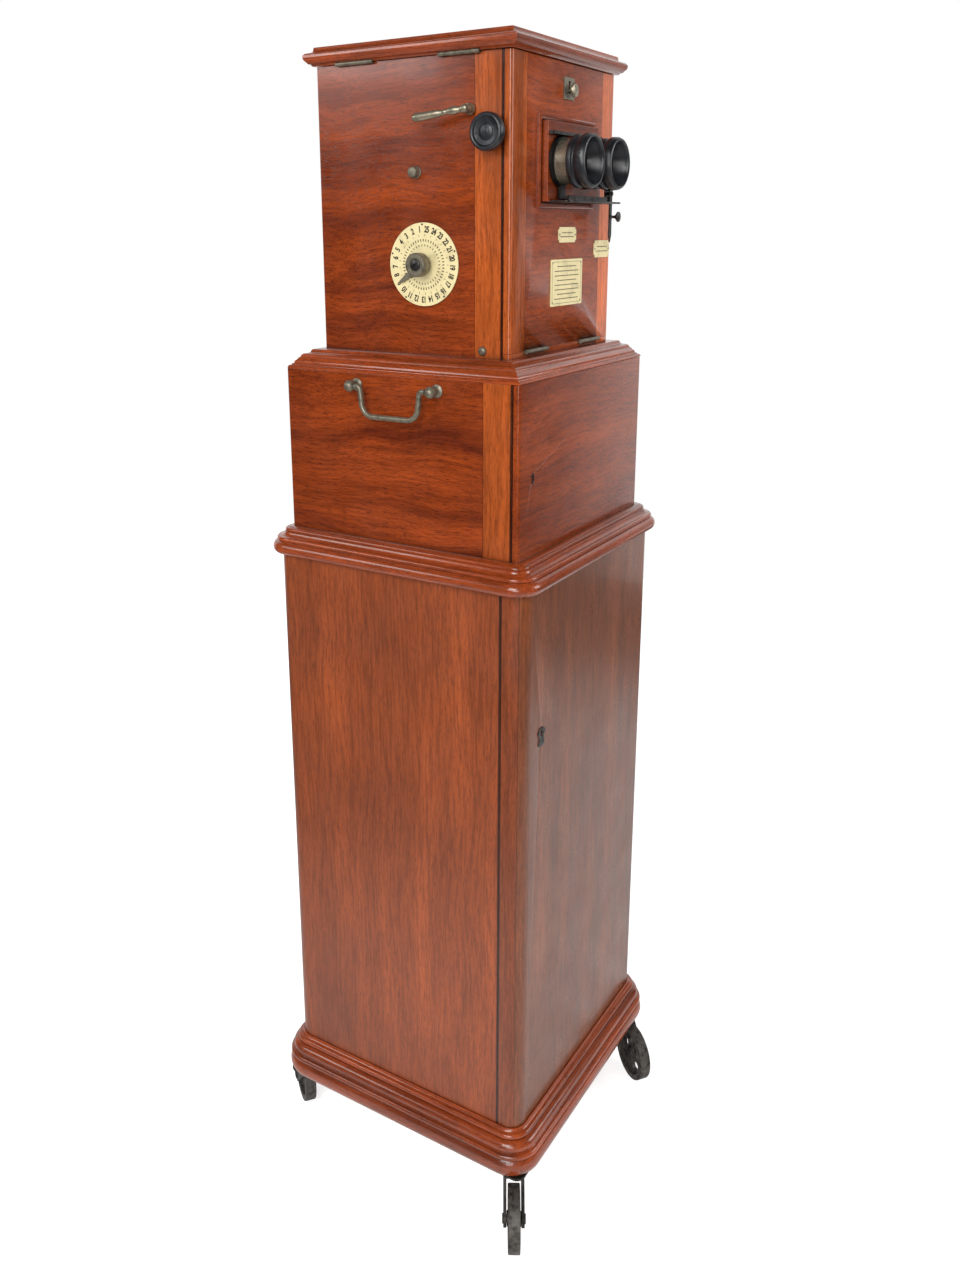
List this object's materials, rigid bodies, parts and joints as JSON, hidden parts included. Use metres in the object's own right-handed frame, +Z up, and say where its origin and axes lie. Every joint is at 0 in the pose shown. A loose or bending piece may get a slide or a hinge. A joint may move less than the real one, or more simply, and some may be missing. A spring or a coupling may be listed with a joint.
{
  "type": "stereoscopic slide viewer",
  "caption": "Floor-standing stereo slide viewer: stepped wooden cabinet on casters with lens eyepieces, slide selector dial, lift lever, focus knob and doors that open.",
  "frame": {"origin": "on the floor under the middle of the cabinet", "axes": "+Z up, -Y is the front with the eyepieces and doors, -X is the side with the dial and the levers"},
  "size_m": [0.4732, 0.4578, 1.416],
  "materials": {
    "red_wood": "satin polish",
    "front_wood": "satin polish",
    "moulding_wood": "gloss polish",
    "inner_wood": "matt",
    "frosted_glass": "ground",
    "ivory_plate": "satin",
    "nickel": "worn",
    "aged_nickel": "tarnished",
    "brass": "satin",
    "black_metal": "matt",
    "iron": "dark",
    "cast_iron": "worn",
    "ebonite": "satin",
    "lens_glass": "clear"
  },
  "bodies": {
    "cabinet": {"base_moulding": "moulding_wood", "deck_boards": "inner_wood", "caster_plates": "iron", "cabinet_sides": "red_wood", "back_panels": "red_wood", "shelves": "inner_wood", "waist_moulding": "moulding_wood", "middle_sides": "red_wood", "plinth_board": "moulding_wood", "head_sides": "red_wood", "head_back": "red_wood", "head_rails": "front_wood", "ground_glass": "frosted_glass", "dial_plate": "ivory_plate", "side_studs": "nickel", "handle_posts": "aged_nickel", "slide_gate": "black_metal", "carriage_rails": "brass", "hinge_leaves_and_pins": "brass"},
    "lid": {"lid_panel": "moulding_wood", "lid_leaves": "brass"},
    "head_front": {"head_door": "front_wood", "head_door_leaves": "brass", "catch_plate": "aged_nickel", "label_plates": "ivory_plate"},
    "catch": {"catch_knob": "nickel"},
    "lens_carriage": {"lens_box": "front_wood", "focus_rack": "brass", "eyepiece_bridge": "nickel"},
    "left_eyepiece": {"eyepiece_left": "nickel", "eyecup_left": "ebonite", "lens_left": "lens_glass"},
    "right_eyepiece": {"eyepiece_right": "nickel", "eyecup_right": "ebonite", "lens_right": "lens_glass"},
    "spacing": {"spacing_lever": "nickel"},
    "selector": {"dial_knob": "nickel", "dial_shaft": "brass"},
    "carriage": {"slide_carriage": "brass", "slide_tray": "inner_wood"},
    "lift_handle": {"lift_lever": "nickel", "lift_shaft": "brass"},
    "lift": {"lifter": "brass", "glass_slide": "lens_glass"},
    "focus": {"focus_knob": "ebonite", "focus_shaft": "brass"},
    "middle_front": {"middle_door": "front_wood", "middle_door_leaves": "brass"},
    "cabinet_front": {"cabinet_door": "front_wood", "cabinet_door_leaves": "brass"},
    "left_bail": {"bail_left": "aged_nickel"},
    "right_bail": {"bail_right": "aged_nickel"},
    "swivel_front_left": {"caster_fork_front_left": "iron"},
    "wheel_front_left": {"caster_wheel_front_left": "cast_iron"},
    "swivel_back_right": {"caster_fork_back_right": "iron"},
    "wheel_back_right": {"caster_wheel_back_right": "cast_iron"},
    "swivel_front_right": {"caster_fork_front_right": "iron"},
    "wheel_front_right": {"caster_wheel_front_right": "cast_iron"},
    "swivel_back_left": {"caster_fork_back_left": "iron"},
    "wheel_back_left": {"caster_wheel_back_left": "cast_iron"}
  },
  "joints": [
    {"name": "lid_hinge", "type": "hinge", "parent": "cabinet", "child": "lid", "pos_m": [-0.1278, 0, 1.39585], "axis": [0, -1, 0], "range_deg": [0, 100]},
    {"name": "head_door_hinge", "type": "hinge", "parent": "cabinet", "child": "head_front", "pos_m": [0, -0.1278, 1.089], "axis": [1, 0, 0], "range_deg": [0, 90]},
    {"name": "catch_slide", "type": "slide", "parent": "head_front", "child": "catch", "axis": [0, 0, 1], "range_m": [0, 0.007]},
    {"name": "lens_focus", "type": "slide", "parent": "head_front", "child": "lens_carriage", "axis": [0, 1, 0], "range_m": [0, 0.005]},
    {"name": "left_eye_slide", "type": "slide", "parent": "lens_carriage", "child": "left_eyepiece", "axis": [1, 0, 0], "range_m": [-0.00234, 0.00234]},
    {"name": "right_eye_slide", "type": "slide", "parent": "lens_carriage", "child": "right_eyepiece", "axis": [1, 0, 0], "range_m": [-0.00234, 0.00234]},
    {"name": "spacing_pivot", "type": "hinge", "parent": "lens_carriage", "child": "spacing", "pos_m": [0.09, -0.14, 1.2595], "axis": [0, 1, 0], "range_deg": [-21, 21]},
    {"name": "selector_spin", "type": "hinge", "parent": "cabinet", "child": "selector", "pos_m": [-0.125, -0.016, 1.182], "axis": [-1, 0, 0], "range_deg": [-115.2, 230.4]},
    {"name": "carriage_slide", "type": "slide", "parent": "cabinet", "child": "carriage", "axis": [0, 1, 0], "range_m": [-0.0304, 0.0608]},
    {"name": "lift_pivot", "type": "hinge", "parent": "cabinet", "child": "lift_handle", "pos_m": [-0.125, -0.0767, 1.34], "axis": [-1, 0, 0], "range_deg": [0, 76]},
    {"name": "lift_slide", "type": "slide", "parent": "cabinet", "child": "lift", "axis": [0, 0, 1], "range_m": [-0.048, 0]},
    {"name": "focus_spin", "type": "hinge", "parent": "cabinet", "child": "focus", "pos_m": [-0.125, -0.1045, 1.316], "axis": [-1, 0, 0], "range_deg": [0, 47.75]},
    {"name": "middle_door_hinge", "type": "hinge", "parent": "cabinet", "child": "middle_front", "pos_m": [0.1636, -0.148, 0.965], "axis": [0, 0, 1], "range_deg": [0, 110]},
    {"name": "cabinet_door_hinge", "type": "hinge", "parent": "cabinet", "child": "cabinet_front", "pos_m": [0.1804, -0.1445, 0.489], "axis": [0, 0, 1], "range_deg": [0, 110]},
    {"name": "left_bail_pivot", "type": "hinge", "parent": "cabinet", "child": "left_bail", "pos_m": [-0.174, 0, 1.049], "axis": [0, 1, 0], "range_deg": [0, 95]},
    {"name": "right_bail_pivot", "type": "hinge", "parent": "cabinet", "child": "right_bail", "pos_m": [0.174, 0, 1.049], "axis": [0, -1, 0], "range_deg": [0, 95]},
    {"name": "swivel_front_left_turn", "type": "hinge", "parent": "cabinet", "child": "swivel_front_left", "pos_m": [-0.167, -0.164, 0.08], "axis": [0, 0, 1], "continuous": true},
    {"name": "wheel_front_left_spin", "type": "hinge", "parent": "swivel_front_left", "child": "wheel_front_left", "pos_m": [-0.19991, -0.183, 0.038], "axis": [0.5, -0.866, 0], "continuous": true},
    {"name": "swivel_back_right_turn", "type": "hinge", "parent": "cabinet", "child": "swivel_back_right", "pos_m": [0.167, 0.164, 0.08], "axis": [0, 0, 1], "continuous": true},
    {"name": "wheel_back_right_spin", "type": "hinge", "parent": "swivel_back_right", "child": "wheel_back_right", "pos_m": [0.19991, 0.183, 0.038], "axis": [-0.5, 0.866, 0], "continuous": true},
    {"name": "swivel_front_right_turn", "type": "hinge", "parent": "cabinet", "child": "swivel_front_right", "pos_m": [0.167, -0.164, 0.08], "axis": [0, 0, 1], "continuous": true},
    {"name": "wheel_front_right_spin", "type": "hinge", "parent": "swivel_front_right", "child": "wheel_front_right", "pos_m": [0.14387, -0.19415, 0.038], "axis": [0.7934, -0.6088, 0], "continuous": true},
    {"name": "swivel_back_left_turn", "type": "hinge", "parent": "cabinet", "child": "swivel_back_left", "pos_m": [-0.167, 0.164, 0.08], "axis": [0, 0, 1], "continuous": true},
    {"name": "wheel_back_left_spin", "type": "hinge", "parent": "swivel_back_left", "child": "wheel_back_left", "pos_m": [-0.14387, 0.19415, 0.038], "axis": [-0.7934, 0.6088, 0], "continuous": true}
  ],
  "couplings": [
    {"joint": "selector_spin", "follows": "carriage_slide", "rad_per_m": 66.139},
    {"joint": "lift_slide", "follows": "lift_pivot", "m_per_rad": -0.036187},
    {"joint": "focus_spin", "follows": "lens_focus", "rad_per_m": 166.67},
    {"joint": "spacing_pivot", "follows": "left_eye_slide", "rad_per_m": -156.25},
    {"joint": "right_eye_slide", "follows": "left_eye_slide", "ratio": -1}
  ]
}
